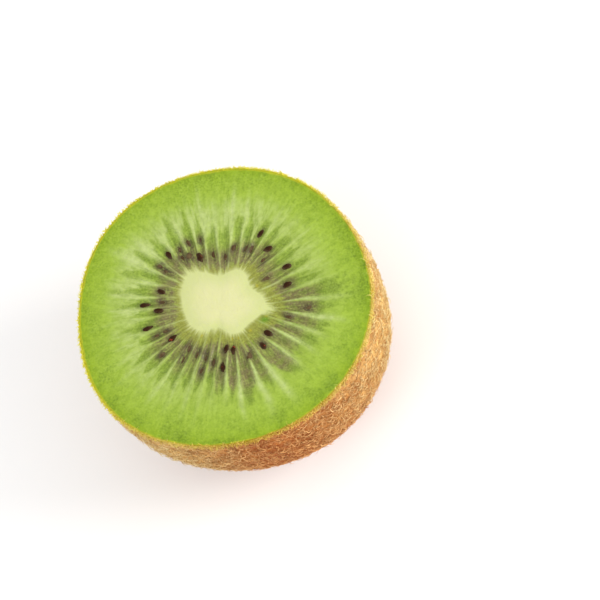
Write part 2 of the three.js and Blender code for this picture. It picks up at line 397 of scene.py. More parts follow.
# ---- Node materials ----
class Finish:
    """A node material in the making. Each method adds one node and gives back its output."""

    def __init__(self, name):
        self.material = bpy.data.materials.new(name)
        self.material.use_nodes = True
        self.nodes = self.material.node_tree.nodes
        self.links = self.material.node_tree.links
        self.shader = self.nodes["Principled BSDF"]

    def put(self, socket, value):
        """Gives the socket a number, a colour, another socket's output or, for a name, the mesh's values."""
        if isinstance(value, str):
            value = self.value(value)
        if isinstance(value, bpy.types.NodeSocket):
            self.links.new(value, socket)
        elif isinstance(value, (int, float)):
            socket.default_value = value
        else:
            socket.default_value = (*value[:3], 1)

    def shade(self, **values):
        for name, value in values.items():
            self.put(self.shader.inputs[name.replace("_", " ")], value)

    def value(self, name):
        node = self.nodes.new("ShaderNodeAttribute")
        node.attribute_name = name
        return node.outputs["Fac"]

    def reckon(self, operation, first, second):
        """The result of a sum, kept between 0 and 1."""
        node = self.nodes.new("ShaderNodeMath")
        node.operation = operation
        node.use_clamp = True
        self.put(node.inputs[0], first)
        self.put(node.inputs[1], second)
        return node.outputs[0]

    def times(self, first, second):
        return self.reckon("MULTIPLY", first, second)

    def blend(self, factor, first, second, way="MIX"):
        node = self.nodes.new("ShaderNodeMix")
        node.data_type = "RGBA"
        node.blend_type = way
        self.put(node.inputs[0], factor)
        self.put(node.inputs[6], first)
        self.put(node.inputs[7], second)
        return node.outputs[2]

    def noise(self, place, scale, detail):
        node = self.nodes.new("ShaderNodeTexNoise")
        node.inputs["Scale"].default_value = scale
        node.inputs["Detail"].default_value = detail
        self.links.new(place, node.inputs["Vector"])
        return node.outputs[0]

    def grain(self, size, detail=2):
        """Noise on object coordinates, its grains size millimetres wide."""
        place = self.nodes.new("ShaderNodeTexCoord")
        return self.noise(place.outputs["Object"], 1 / (size * MM), detail)

    def fibres(self):
        """Noise on the piece's own fibre coordinates, which run round the ring and out along the flesh."""
        place = self.nodes.new("ShaderNodeAttribute")
        place.attribute_name = "fibre"
        return self.noise(place.outputs["Vector"], 1, 2)

    def spread(self, value, low, high, start=0.0, end=1.0):
        """The value's stretch from low to high, spread smoothly from start to end."""
        node = self.nodes.new("ShaderNodeMapRange")
        node.interpolation_type = "SMOOTHSTEP"
        for socket, number in zip(("From Min", "From Max", "To Min", "To Max"), (low, high, start, end)):
            node.inputs[socket].default_value = number
        self.put(node.inputs["Value"], value)
        return node.outputs["Result"]

    def ramp(self, value, stops):
        """Colours along a value; stops are (position, colour)."""
        node = self.nodes.new("ShaderNodeValToRGB")
        elements = node.color_ramp.elements
        while len(elements) < len(stops):
            elements.new(0.5)
        for element, (position, tint) in zip(elements, stops):
            element.position = position
            element.color = (*tint[:3], 1)
        self.put(node.inputs["Fac"], value)
        return node.outputs["Color"]

    def bump(self, height, depth, below=None):
        """Relief from a height between 0 and 1, depth millimetres deep, on top of another relief."""
        node = self.nodes.new("ShaderNodeBump")
        node.inputs["Strength"].default_value = 1
        node.inputs["Distance"].default_value = depth * MM
        self.links.new(height, node.inputs["Height"])
        if below is not None:
            self.links.new(below, node.inputs["Normal"])
        return node.outputs["Normal"]


# ---- Cut face ----
def face_point(place, share):
    """x and y: the core's outline times 1 + share inside the core; outside it, on the straight line from the
    outline (at an angle that leans with the outline's slope) to the skin."""
    angle = chamber_angle(place)
    leaning = angle + WALL_LEAN * wavy_slope(CORE_WAVES, angle)
    core = CORE_RADIUS * wavy(CORE_WAVES, leaning)
    skin = FLESH_RADIUS * wavy(OUTLINE_WAVES, angle)
    inner, outer = 1 + np.minimum(share, 0), np.maximum(share, 0)
    x = core * np.cos(leaning) * inner * (1 - outer) + skin * np.cos(angle) * outer
    y = core * np.sin(leaning) * inner * (1 - outer) + skin * np.sin(angle) * outer
    return x + AXIS[0], y + AXIS[1]


def digits(chart, place, low, step):
    """low + step * the chart's digit for the chamber at each place."""
    return low + step * np.array([int(sign) for sign in chart])[np.floor(place).astype(int) % CHAMBERS]


def bent(place, share):
    """The place, moved back by as much as the walls beside it bend away from their straight lines: 0.05 of a
    chamber for each step of the chart, growing up to a share of 0.35."""
    bends = digits(BEND_CHART, np.arange(CHAMBERS + 1), -0.25, 0.05)
    bend = np.interp(np.mod(place, CHAMBERS), np.arange(CHAMBERS + 1), bends)
    return place - bend * smooth(share, 0, 0.35)


def chamber_depth(place, share):
    """Depth * rise to the deepest share * fall to the tip * sin^2 across the bent chamber."""
    tip = TIP_SHARE + TIP_SWAY * np.cos(chamber_angle(place) - math.radians(TIP_LONGEST))
    sinking = smooth(share, 0, CHAMBER_DEEPEST)
    rising = smooth(share, CHAMBER_DEEPEST, tip)
    return CHAMBER_DEPTH * sinking * (1 - rising) * np.sin(math.pi * bent(place, share)) ** 2


def bell(value, middle, width):
    """exp(-((value - middle) / width)^2)."""
    return np.exp(-(((value - middle) / width) ** 2))


def towards(angle, side):
    """(1 + cos(angle - side)) / 2, from 1 on that side to 0 on the far one."""
    return 0.5 + 0.5 * np.cos(angle - math.radians(side))


def chamber_values(place, share):
    """How far a point lies in its chamber: 1 where the half width (0.43 in the broad part, 0.12 in the narrow
    tip, then below nothing) exceeds the distance from the middle line, with a soft edge and a fainter tip."""
    across = place - np.floor(place)
    body_end = digits(BODY_CHART, place, 0.3, 0.05)
    tip_end = digits(REACH_CHART, place, 0.46, 0.03)
    middle = digits(TIP_CHART, place, 0, 0.1)
    middle = 0.5 + (middle - 0.5) * smooth(share, 0.35, 0.6)
    ragged = share + 0.07 * noise(place * 5, share * 5, 3, 190) + 0.03 * noise(place * 6, share * 18, 7, 228)
    broad = 0.31 * (1 - smooth(ragged, body_end - 0.1, body_end + 0.09))
    narrow = 0.12 - 0.3 * smooth(ragged, tip_end - 0.12, tip_end + 0.04)
    wavering = 0.05 * noise(place, share * 9, 15, CHAMBERS) * smooth(share, 0.2, 0.4)
    softness = 0.055 + 0.08 * smooth(share, 0.2, 0.6)
    inside = smooth(broad + narrow + wavering - np.abs(across - middle), -softness, softness)
    strength = digits(REACH_CHART, place, 0.6, 0.045) * (1 - 0.3 * smooth(share, body_end - 0.05, tip_end))
    return inside * smooth(share, -0.01, 0.05) * strength


def patch_values(place, share, x, y):
    """A dark green patch past the chambers, a bell frayed by noise."""
    patch = bell(place, GREEN_PATCH[0], 0.65) * bell(share, GREEN_PATCH[1], 0.25)
    return patch * smooth(noise(x * 1.7, y * 1.7, 21) + 0.6 * noise(place * 5, share * 9, 22, 190), -1.0, 0.4)


def wall_values(place, share, pitch):
    """How pale the walls are: exp(-(distance / width)^2) from the nearest one, as pale as its charts say."""
    nearest = np.round(place)
    wander = 0.07 * noise(nearest * 7, share * 6, 13)
    beside = (place + wander - nearest) * pitch
    widening = 0.3 + sum(more * bell(place, at, 3.5) for at, more in WIDE_GAPS)
    width = 0.12 + 0.06 * noise(nearest * 5, share * 8, 14) + widening * smooth(share, 0.14, 0.56)
    paleness = digits(ROOT_CHART, nearest, 0.05, 0.09)
    paleness = paleness + (digits(WALL_CHART, nearest, 0.05, 0.1) - paleness) * smooth(share, 0.14, 0.28)
    reach = 0.69 + 0.13 * noise(nearest * 3, 5, 27)
    fading = smooth(share, -0.02, 0.06) * (1 - smooth(share, reach - 0.22, reach + 0.12))
    return bell(beside, 0, width) * paleness * fading * (0.86 + 0.3 * noise(place * 4, share * 34, 4, 152))


def pip_shadow_and_dark_gel_values(x, y):
    """Painted shadow round each pip that stands out, and gel darkened over each sunken pip: strength *
    exp(-d^3), where d is the distance over 1.3 mm along the pip or 0.78 mm across it, both times its size;
    the gel over a sunken pip is darker."""
    pip_shadow_and_dark_gel = np.zeros_like(x)
    uneven = 0.12 * noise(x * 2.6, y * 2.6, 35)
    for kind, strength in (("#", 0.6), ("o", 0.85)):
        for at_x, at_y, _, turn, size in pip_spots(kind):
            right = (x - at_x) * math.cos(turn) + (y - at_y) * math.sin(turn)
            up = (y - at_y) * math.cos(turn) - (x - at_x) * math.sin(turn)
            spread = np.hypot(right / (1.3 * size), up / (0.78 * size)) + uneven
            pip_shadow_and_dark_gel = np.maximum(pip_shadow_and_dark_gel, strength * np.exp(-(spread**3)))
    return pip_shadow_and_dark_gel


def face_values(place, share, x, y):
    """Where each tint of the face lies, from 0 to 1. dusk, olive, core, pale, skin and rind are bands of
    share whose ends are made ragged by noise. zest and moss are small bells. speckle, strand and shaded say
    how strong the dots and the painted glints, the fine strands and the far side's shade are."""
    pitch = 2 * math.pi * np.hypot(x - AXIS[0], y - AXIS[1]) / CHAMBERS
    angle = chamber_angle(place)
    curved = bent(place, share)
    streaks = noise(curved * 6, share * 9, 5, 228)
    blotches = noise(curved * 2, share * 22, 9, 76)
    fibres = noise(place * 6, share * 5, 17, 228)
    patch = patch_values(place, share, x, y)
    chamber = np.maximum(chamber_values(curved, share), patch)
    wall = wall_values(curved, share, pitch) * (1 - 0.8 * patch)

    long_fibres = smooth(towards(angle, OLIVE_SIDE), 0.8, 0.525)
    olive_end = 0.03 + 0.08 * long_fibres + 0.05 * bell(place, 36, 2)
    olive = smooth(share, -0.04, 0.03) * (1 - smooth(share + 0.03 * fibres, olive_end, olive_end + 0.09))
    dusk_end = digits(DUSK_CHART, curved, 0.15, 0.05)
    ragged = share + 0.04 * streaks
    dusk = np.maximum(chamber, 1 - smooth(share, 0.2, 0.3)) * smooth(ragged, olive_end, olive_end + 0.06)
    dusk = dusk * (1 - smooth(ragged, dusk_end - 0.08, dusk_end + 0.08))
    dusk = dusk * np.clip(0.86 + 0.35 * blotches + 0.25 * streaks, 0, 1)

    zest = sum(bell(place, at, 0.16) * bell(share, out, 0.012) for at, out in ZEST_SPOTS)
    moss = bell(place, GREEN_SPOT[0], 0.42) * bell(share, GREEN_SPOT[1], 0.035)
    spurs = sum(rise * bell(place, at, width) for at, width, rise in CORE_SPURS)
    rim = share - spurs + 0.035 * fibres + 0.02 * streaks
    core = 1 - smooth(rim, -0.06, 0.055)

    sunny = towards(angle, SUNNY_SIDE)
    golden = smooth(towards(angle, GOLDEN_SIDE), 0.4, 0.8)
    pale = smooth(share, 0.24, 0.5) * (1 - smooth(share + 0.06 * streaks, 0.54, 0.8))
    pale = pale * (1 - chamber) * sunny * np.clip(0.8 + 0.4 * noise(place * 3, share * 5, 19, 114), 0, 1)
    skin = smooth(share + 0.01 * noise(x * 1.1, y * 1.1, 23), 0.9, 1.0)
    patches = smooth(layered(x * 0.35, y * 0.35, 25), -0.5, 0.9)
    # speckle sets the strength of the dots and of the painted glints
    speckle = 0.2 * smooth(share, 0, 0.1) + 0.6 * chamber + (0.2 + 0.5 * patches) * smooth(share, 0.6, 0.95)
    shaded = smooth(share, 0.7, 0.95) * (1 - sunny) * patches
    strand = 1 - 0.5 * smooth(share, 0.35, 0.6) - 0.2 * smooth(share, 0.7, 0.95)
    rind = share + 0.004 * noise(place * 6, 3, 29, 228) + 0.006 * golden

    return {
        "share": np.clip(share, 0, 1),
        "core": core,
        "heart": smooth(-share, 0.0, 0.6),
        "strand": strand * smooth(share, 0.0, 0.15),
        "shaded": shaded,
        "rind": smooth(rind, 0.991, 0.998),
        "chamber": chamber * (1 - 0.4 * sunny),
        "wall": np.clip(wall, 0, 1),
        "dusk": dusk,
        "olive": olive,
        "zest": np.clip(zest, 0, 1),
        "moss": moss,
        "pale": pale,
        "skin": skin,
        "speckle": np.clip(speckle, 0, 1),
        "pip_shadow_and_dark_gel": pip_shadow_and_dark_gel_values(x, y),
    }


def flesh_material(settings):
    finish = Finish("kiwi_flesh")
    stops = (
        (0.0, settings.core_edge),
        (0.2, settings.pulp_inner),
        (0.5, settings.pulp_inner),
        (0.74, settings.pulp_middle),
        (1.0, settings.pulp_outer),
    )
    tint = finish.ramp("share", stops)
    fine, coarse, fibre = finish.grain(settings.grain / MM), finish.grain(1.6), finish.fibres()
    outside = finish.spread("share", 0.0, 0.3)
    clouds = finish.spread(finish.grain(0.8, 3), 0.4, 0.62, 0.0, 0.5)
    heart = finish.blend("heart", settings.core_edge, settings.core)
    layers = (  # where it lies, how strong it is there, its colour and how it's laid on
        ("speckle", finish.spread(coarse, 0.45, 0.7, 0.0, 0.5), settings.pulp_outer, "MIX"),
        ("pale", finish.spread(fibre, 0.25, 0.65, 0.45, 0.9), settings.wall, "MIX"),
        ("chamber", 0.9, settings.chamber, "MIX"),
        ("olive", 1, settings.olive, "MIX"),
        ("dusk", finish.spread(fibre, 0.25, 0.6, 0.7, 1.0), settings.dusk, "MIX"),
        ("wall", 1, settings.wall, "MIX"),
        # painted shadow round the standing pips, and dark gel over the sunken ones
        ("pip_shadow_and_dark_gel", 1, settings.pip_shadow_and_dark_gel, "MIX"),
        ("core", 1, heart, "MIX"),
        ("zest", 0.75, settings.zest, "MIX"),
        ("moss", 1, settings.moss, "MIX"),
        ("skin", finish.spread(coarse, 0.3, 0.6, 0.4, 1.0), settings.under_skin, "MIX"),
        ("speckle", finish.spread(fine, 0.46, 0.7), settings.dots, "MULTIPLY"),
        # painted glints: light specks for highlights on the wet gel and pulp
        ("speckle", finish.spread(fine, 0.46, 0.3, 0.0, 0.4), settings.light, "MIX"),
        ("strand", finish.spread(fibre, 0.52, 0.3), settings.strands, "MULTIPLY"),
        ("strand", finish.spread(fibre, 0.5, 0.7, 0.0, 0.35), settings.light, "MIX"),
        (outside, clouds, settings.strands, "MULTIPLY"),
        ("shaded", 1, settings.strands, "MULTIPLY"),
        ("rind", 1, settings.rind, "MIX"),
    )
    for where, strength, layer, way in layers:
        tint = finish.blend(finish.times(where, strength), tint, layer, way)
    finish.shade(
        Base_Color=tint,
        Roughness=finish.spread(coarse, 0.3, 0.7, settings.wetness - 0.06, settings.wetness + 0.12),
        Subsurface_Weight=0.35,
        Subsurface_Scale=0.0004,
        Specular_IOR_Level=0.35,
        Normal=finish.bump(fine, 0.06, finish.bump(coarse, 0.13)),
    )
    finish.shader.inputs["Subsurface Radius"].default_value = (0.9, 1.0, 0.35)
    return finish.material


class KIWI_OT_flesh(bpy.types.Operator):
    """Make the cut face with its core, walls and chambers, and the flesh under the skin"""

    bl_idname = "kiwi.flesh"
    bl_label = "Flesh"

    def execute(self, context):
        settings = context.scene.kiwi_flesh
        place = np.arange(FACE_COLUMNS * CHAMBERS)[None, :] / FACE_COLUMNS
        core_shares = np.linspace(-1, 0, CORE_RINGS + 1)[1:]
        flesh_shares = np.linspace(0, FACE_END, FLESH_RINGS + 1)[1:]
        share = np.concatenate([core_shares, flesh_shares])[:, None]
        place, share = np.broadcast_arrays(place, share)
        x, y = face_point(place, share)
        grain = noise(x * 1.9, y * 1.9, 31) + 0.5 * noise(x * 4.1, y * 4.1, 33)
        crown = CORE_CROWN * (1 - (1 + np.minimum(share, 0)) ** 2)
        droop = 0.03 * smooth(share, 0.97, 1)
        calm = 0.3 + 0.7 * smooth(share, -0.05, 0.1)
        z = CUT_HEIGHT + crown - chamber_depth(place, share) - 0.02 * calm * grain * (share > -1) - droop
        face = np.stack([x, y, z], axis=-1)
        radius, height = skin_profile(INNER_RINGS)
        inside = skin_point(chamber_angle(place[:1]), radius[::-1, None], height[::-1, None], inset=0.2)
        rings = np.concatenate([face, inside])[None]
        flesh = closed_forms("flesh", rings, on_axis(CUT_HEIGHT + CORE_CROWN), on_axis(1.6))
        values = face_values(place, share, x, y)
        for name, value in values.items():
            hidden = np.broadcast_to(value[-1:], (len(inside), value.shape[1]))
            whole = np.concatenate([value, hidden])[None]
            keep_values(flesh, name, whole, whole[:, 0, 0], whole[:, -1, 0])
        keep_fibre(flesh, place, share, inside.size // 3 + 2)
        settle(flesh, flesh_material(settings))
        return {"FINISHED"}


# ---- Pips ----
def pip_spots(kind):
    """x, y, height of the middle, turn and size of each pip of one kind, by the same draws as the solid's."""
    spots = []
    for chart, ring_share, drift, start in PIP_RINGS:
        present = [chamber for chamber, sign in enumerate(chart) if sign != "."]
        drawn = draws(start, 3 * len(present)).reshape(-1, 3) - 0.5
        for chamber, (along, side, look) in zip(present, drawn):
            if chart[chamber] != kind:
                continue
            middle = chamber_angle(chamber + 0.5)
            shift = drift[0] * math.cos(middle) + drift[1] * math.sin(middle)
            place = chamber + 0.5 + SIDE_SPREAD * side
            share = ring_share + shift + RING_SPREAD * along
            x, y = face_point(place, share)
            inner, outer = face_point(place, 0.0), face_point(place, 1.0)
            size = 1 + PIP_SIZE_SPREAD * look
            turn = math.atan2(outer[1] - inner[1], outer[0] - inner[0]) + math.radians(PIP_TURN_SPREAD) * look
            z = CUT_HEIGHT - chamber_depth(place, share) + PIP_PROUD[kind] - size / 2
            spots.append((x, y, z, turn, size))
    return np.array(spots)


def pip_forms(spots, settings, seed):
    """Drops: along = -cos(v)/2 and girth = sin(v)^0.9 * (1 + 2 taper min(along, 0)), then width/2 * girth *
    cos(u) across and thickness/2 * girth * sin(u) up, dented by noise, turned about the upright and set in
    place."""
    v = np.linspace(0, math.pi, PIP_ROWS + 2)[1:-1, None]
    u = np.linspace(0, 2 * math.pi, PIP_SIDES, endpoint=False)[None, :]
    along = -np.cos(v) / 2
    girth = np.sin(v) ** 0.9 * (1 + 2 * PIP_TAPER * np.minimum(along, 0)) / 2
    x = np.broadcast_to(along * settings.length / MM, (PIP_ROWS, PIP_SIDES))
    y = girth * -np.cos(u) * settings.width / MM
    z = girth * np.sin(u) * settings.thickness / MM
    turn, size = spots[:, 3, None, None], spots[:, 4, None, None]
    shift = np.arange(len(spots))[:, None, None] * 5.3
    dent = 1 + 0.18 * noise(x * 1.6 + shift, y * 2 + z * 2 + shift, seed)
    x, y, z = x * size, y * size * dent, z * size * dent
    turned = np.stack([x * np.cos(turn) - y * np.sin(turn), x * np.sin(turn) + y * np.cos(turn), z], axis=-1)
    centre, reach = spots[:, :3], settings.length / MM / 2 * spots[:, 4:]
    heading = np.stack([np.cos(spots[:, 3]), np.sin(spots[:, 3]), 0 * spots[:, 3]], axis=1)
    return turned + centre[:, None, None], centre - reach * heading, centre + reach * heading


def gel_values(rings, spots, low, high):
    """How much gel clings to a point: from 1 to 0 as its height over the pip's middle, counted in half
    thicknesses, rises from low to high."""
    middle, half = spots[:, 2, None, None], spots[:, 4, None, None] / 2
    return 1 - smooth((rings[..., 2] - middle) / half, low, high)


def pip_material(name, shell, spots, gel, lowest, highest):
    """Shell colour with spots where a noise of 0.7 mm rises from lowest to highest, and gel at the edge. On
    the pips that stand out the spots are a painted glint, a highlight; on the sunken ones they are the veil
    of gel.
    """
    finish = Finish(name)
    patches = finish.grain(0.7)
    tint = finish.blend(finish.spread(patches, lowest, highest), shell, spots)
    clinging = finish.times("gel", finish.spread(finish.grain(0.4), 0.35, 0.6, 0.2, 1.0))
    finish.shade(
        Base_Color=finish.blend(clinging, tint, gel),
        Roughness=finish.spread(patches, 0.3, 0.7, 0.35, 0.6),
        Specular_IOR_Level=0.1,
        Normal=finish.bump(finish.grain(0.3), 0.08),
    )
    return finish.material


class KIWI_OT_pips(bpy.types.Operator):
    """Make the dark pips that stand out and the veiled ones that are sunk in the gel"""

    bl_idname = "kiwi.pips"
    bl_label = "Pips"

    def execute(self, context):
        settings = context.scene.kiwi_pips
        kinds = (
            # the glint colour paints highlights on the pips that stand out
            ("#", "pips", settings.shell, settings.glint, (0.64, 0.72), (0.4, 0.95), 0.85, 41),
            ("o", "sunken_pips", settings.veiled, settings.veil, (0.4, 0.6), (0.76, 0.98), 1.0, 43),
        )
        for kind, name, shell, veil_and_painted_glint, rise, edge, cling, seed in kinds:
            spots = pip_spots(kind)
            rings, first, last = pip_forms(spots, settings, seed)
            piece = closed_forms(name, rings, first, last)
            keep_values(piece, "gel", cling * gel_values(rings, spots, *edge), cling, cling)
            settle(piece, pip_material("kiwi_" + name, shell, veil_and_painted_glint, settings.gel, *rise))
        return {"FINISHED"}


# ---- Skin ----
def skin_profile(count):
    """Radius and height of the skin's outside at count even steps from the scar's furrow up to the cut. On
    the round end radius = widest * cos(a)^(2/power) and height = widest height - depth * sin(a)^(2/power).
    Then come the side and the rounded edge."""
    widest_height = CUT_HEIGHT - WIDEST_BELOW_CUT
    lowest = math.acos((DIMPLE_RADIUS / WIDEST_RADIUS) ** (DOME_POWER / 2))
    furrow_height = SCAR_PROUD + DIMPLE_DEPTH
    turn = np.linspace(lowest, 0, 400)
    dome_radius = WIDEST_RADIUS * np.cos(turn) ** (2 / DOME_POWER)
    dome_height = widest_height - (widest_height - SCAR_PROUD) * np.sin(turn) ** (2 / DOME_POWER)
    climb = np.linspace(0, 1, 40)[1:]
    side_radius = WIDEST_RADIUS + (CUT_RADIUS - WIDEST_RADIUS) * climb**2
    side_height = widest_height + (WIDEST_BELOW_CUT - SKIN_EDGE) * climb
    edge = np.linspace(0, math.pi / 2, 12)[1:]
    edge_radius = FLESH_RADIUS + SKIN_EDGE * np.cos(edge)
    edge_height = CUT_HEIGHT - SKIN_EDGE + SKIN_EDGE * np.sin(edge)
    furrow = [SCAR_RADIUS - 0.1, SCAR_RADIUS + DIMPLE_FLOOR]
    radius = np.concatenate([furrow, dome_radius, side_radius, edge_radius])
    height = np.concatenate([[furrow_height, furrow_height], dome_height, side_height, edge_height])
    along = np.concatenate([[0], np.cumsum(np.hypot(np.diff(radius), np.diff(height)))])
    even = np.linspace(0, along[-1], count)
    return np.interp(even, along, radius), np.interp(even, along, height)


def skin_point(angle, radius, height, inset=0.0):
    """Point of the skin, round at the scar and as uneven as the outline at the widest ring, set inwards."""
    unevenness = smooth(radius, SCAR_RADIUS, WIDEST_RADIUS)
    lift = inset * (1 - smooth(height, 2, 14))
    reach = radius * (1 + (wavy(OUTLINE_WAVES, angle) - 1) * unevenness) - inset * smooth(height, 0, 8)
    x, y = reach * np.cos(angle) + AXIS[0], reach * np.sin(angle) + AXIS[1]
    z = np.minimum(height + lift, CUT_HEIGHT - inset)
    return np.stack(np.broadcast_arrays(x, y, z), axis=-1)


def skin_tone_and_painted_light(angle, height):
    """How light the skin is: (1 - depth * b) * rise over the heights UPPER_SKIN + SHADED_BROWN_RISE * b,
    where b is a bell round the brown side. Its light side is painted light, and its brown side is browner
    skin and painted shade."""
    off = np.mod(angle - math.radians(SHADED_BROWN_SIDE) + math.pi, 2 * math.pi) - math.pi
    back, on = np.radians(SHADED_BROWN_SPREAD)
    brown = bell(off, 0, np.where(off < 0, back, on))
    return (1 - SHADED_BROWN_DEPTH * brown) * smooth(height - SHADED_BROWN_RISE * brown, *UPPER_SKIN)


def edge_gold(angle, height):
    """How yellow the skin and its hairs are at the cut: the zone reaches 0.4 mm lower on the golden side, and
    is less than half as strong on the other."""
    golden = smooth(towards(angle, GOLDEN_SIDE), 0.3, 0.65)
    return (0.42 + 0.58 * golden) * smooth(height + 0.4 * golden, *FRINGE_SKIN)


def skin_material(settings):
    finish = Finish("kiwi_skin")
    patches = finish.grain(3.2, 3)
    pores = finish.grain(0.5, 3)
    # painted light on the light side; painted shade and browner skin on the brown side
    tint = finish.blend("upper", settings.base, settings.upper)
    tint = finish.blend(finish.spread(patches, 0.4, 0.65), tint, settings.dark, "MULTIPLY")
    tint = finish.blend(finish.spread(pores, 0.5, 0.7), tint, settings.dark, "MULTIPLY")
    finish.shade(
        Base_Color=finish.blend("lip", tint, settings.lip),
        Roughness=finish.spread(pores, 0.3, 0.7, 0.6, 0.85),
        Specular_IOR_Level=0.15,
        Normal=finish.bump(pores, 0.12, finish.bump(patches, 0.25)),
    )
    return finish.material


def scar_material(settings):
    finish = Finish("kiwi_scar")
    fibres = finish.grain(0.5, 4)
    patches = finish.spread(finish.grain(1.8), 0.35, 0.65)
    tint = finish.blend(patches, settings.scar, settings.scar_dark)
    finish.shade(
        # furrow: painted shade in the hollows and creases
        Base_Color=finish.blend("furrow", tint, settings.scar_dark),
        Roughness=finish.spread(fibres, 0.3, 0.7, 0.7, 0.95),
        Specular_IOR_Level=0.25,
        Normal=finish.bump(fibres, 0.2),
    )
    return finish.material


class KIWI_OT_skin(bpy.types.Operator):
    """Make the thin skin with its rounded yellow-green edge, and the woody scar under it"""

    bl_idname = "kiwi.skin"
    bl_label = "Skin and end scar"

    def execute(self, context):
        settings = context.scene.kiwi_skin
        self.make_skin(settings)
        self.make_scar(settings)
        return {"FINISHED"}

    def make_skin(self, settings):
        """A cup: up the inside, over the edge and down the outside. The outside is moved inwards by noise of
        0.1 mm in broad dents and 0.04 mm in fine ones."""
        angle = np.linspace(0, 2 * math.pi, SKIN_SIDES, endpoint=False)[None, :]
        radius, height = skin_profile(SKIN_RINGS)
        outside = skin_point(angle, radius[:, None], height[:, None])
        x, y, z = np.moveaxis(outside, -1, 0)
        dents = 0.1 * (1 + noise(x * 0.16 + 40, y * 0.16 + z * 0.2, 51)) / 2
        dents = dents + 0.04 * (1 + noise(x * 1.1 + z, y * 1.1 - z, 53)) / 2
        fade = smooth(z, 1.5, 4) * (1 - smooth(z, CUT_HEIGHT - 1.2, CUT_HEIGHT - 0.3))
        away = np.stack([np.cos(angle) + 0 * x, np.sin(angle) + 0 * x, 0 * x], axis=-1)
        outside = outside - away * (dents * fade)[..., None]
        radius, height = skin_profile(SKIN_INNER_RINGS)
        thickness = settings.thickness / MM
        inside = skin_point(angle, radius[:-1, None], height[:-1, None], inset=thickness)
        rings = np.concatenate([inside, outside[::-1]])[None]
        skin = closed_forms("skin", rings, on_axis(1.95), on_axis(1.5))
        top = rings[..., 2]
        uneven = top + 0.1 * noise(angle * 40, top[0], 55)
        lip = 0.55 + 0.45 * towards(angle, GOLDEN_SIDE)
        lip = lip * smooth(uneven, CUT_HEIGHT - 0.2, CUT_HEIGHT - 0.02)
        keep_values(skin, "lip", np.maximum(lip, edge_gold(angle, uneven - 0.5)))
        # upper: the skin's tone with painted light on one side and painted shade on the other
        keep_values(skin, "upper", skin_tone_and_painted_light(angle, top))
        settle(skin, skin_material(settings))

    def make_scar(self, settings):
        """A disc with its foot flat on the floor. Its underside has a rim, a raised middle and between them a
        ring sunken by 0.34 * (0.45 + 0.55 * (1 + cos(11 a + noise)) / 2). Its side is creased by noise."""
        angle = np.linspace(0, 2 * math.pi, SCAR_SIDES, endpoint=False)[None, :]
        top = np.array([[2.2, 1.6], [3.9, 1.55], [4.28, 1.35]])
        side = np.array([[4.36, 1.1], [4.4, 0.8], [4.4, 0.5], [4.37, 0.3], [4.28, 0.12], [4.1, 0.02]])
        under = np.array([[r, 0.0] for r in np.linspace(3.9, 0.2, 24)])
        profile = np.concatenate([top, side, under])
        radius, height = profile[:, :1] + 0 * angle, profile[:, 1:] + 0 * angle
        below = (np.arange(len(profile)) >= len(top) + len(side))[:, None]
        crease = noise(angle * 21 / math.pi + 0 * radius, height * 3, 61, 42)
        furrows = (1 + np.cos(11 * angle + 2 * noise(radius, angle * 2, 63))) / 2
        ring = smooth(radius, 0.7, 1.5) * (1 - smooth(radius, 2.9, 3.6))
        grain = (1 + noise(radius * np.cos(angle) * 2.2, radius * np.sin(angle) * 2.2, 65)) / 2
        hollow = 0.34 * ring * (0.45 + 0.55 * furrows) + 0.08 * grain * (1 - smooth(radius, 3.3, 3.8))
        hollow = hollow * below
        creased = (1 + crease) * ~below
        reach = radius * (1 - 0.012 * creased)
        x, y = reach * np.cos(angle) + AXIS[0], reach * np.sin(angle) + AXIS[1]
        rings = np.stack([x, y, height + hollow], axis=-1)[None]
        scar = closed_forms("end_scar", rings, on_axis(1.62), on_axis(0.03))
        # the furrow value is painted shade, darker where the underside is hollowed and the side creased
        keep_values(scar, "furrow", np.clip(hollow * 2.6 + 0.35 * creased, 0, 1)[None])
        settle(scar, scar_material(settings))


# ---- Fuzz ----
def hair_roots(count, chance, lowest, highest):
    """Points drawn evenly over the skin between two heights, and the directions round, up and out of it."""
    radius, height = skin_profile(1500)
    kept = (height >= lowest) & (height <= highest)
    radius, height = radius[kept], height[kept]
    steps = np.append(0, np.hypot(np.diff(radius), np.diff(height)))
    area = np.cumsum(steps * radius)
    spot = np.interp(chance.random(count) * area[-1], area, np.arange(len(area)))
    angle = chance.random(count) * 2 * math.pi

    def point(turned, along):
        stations = np.arange(len(radius))
        spots = [np.interp(spot + along, stations, value) for value in (radius, height)]
        return skin_point(angle + turned, *spots)

    root = point(0, 0)
    around = point(0.01, 0) - point(-0.01, 0)
    up = point(0, 3) - point(0, -3)
    around /= np.linalg.norm(around, axis=1, keepdims=True)
    up -= around * np.sum(up * around, axis=1, keepdims=True)
    up /= np.linalg.norm(up, axis=1, keepdims=True)
    return root, around, up, np.cross(around, up)


def hair_forms(root, heading, bending, lengths, girths, bend, rows):
    """Tapered hairs with three sides. The middle line is root + L (sin(k t) a + (1 - cos(k t)) b) / k, where
    L is the length, a the heading, b the bending direction, k the whole bend and t runs from 0 to 1. The
    girth falls as (1 - t)^0.7 to the tip."""
    t = np.linspace(0, 1, rows + 1)[None, :-1, None]
    k, reach = bend[:, None, None], lengths[:, None, None]
    a, b = heading[:, None, :], bending[:, None, :]
    line = root[:, None, :] + reach * (np.sin(k * t) / k * a + (1 - np.cos(k * t)) / k * b)
    side = np.cross(heading, bending)[:, None, :]
    across = np.sin(k * t) * a - np.cos(k * t) * b
    girth = girths[:, None, None] * (1 - t) ** 0.7
    turns = np.arange(3) * 2 * math.pi / 3
    ring = [line + girth * (math.cos(turn) * across + math.sin(turn) * side) for turn in turns]
    tip = root + lengths[:, None] * (np.sin(bend) / bend)[:, None] * heading
    tip += lengths[:, None] * ((1 - np.cos(bend)) / bend)[:, None] * bending
    return np.stack(ring, axis=2), root - 0.05 * heading, tip


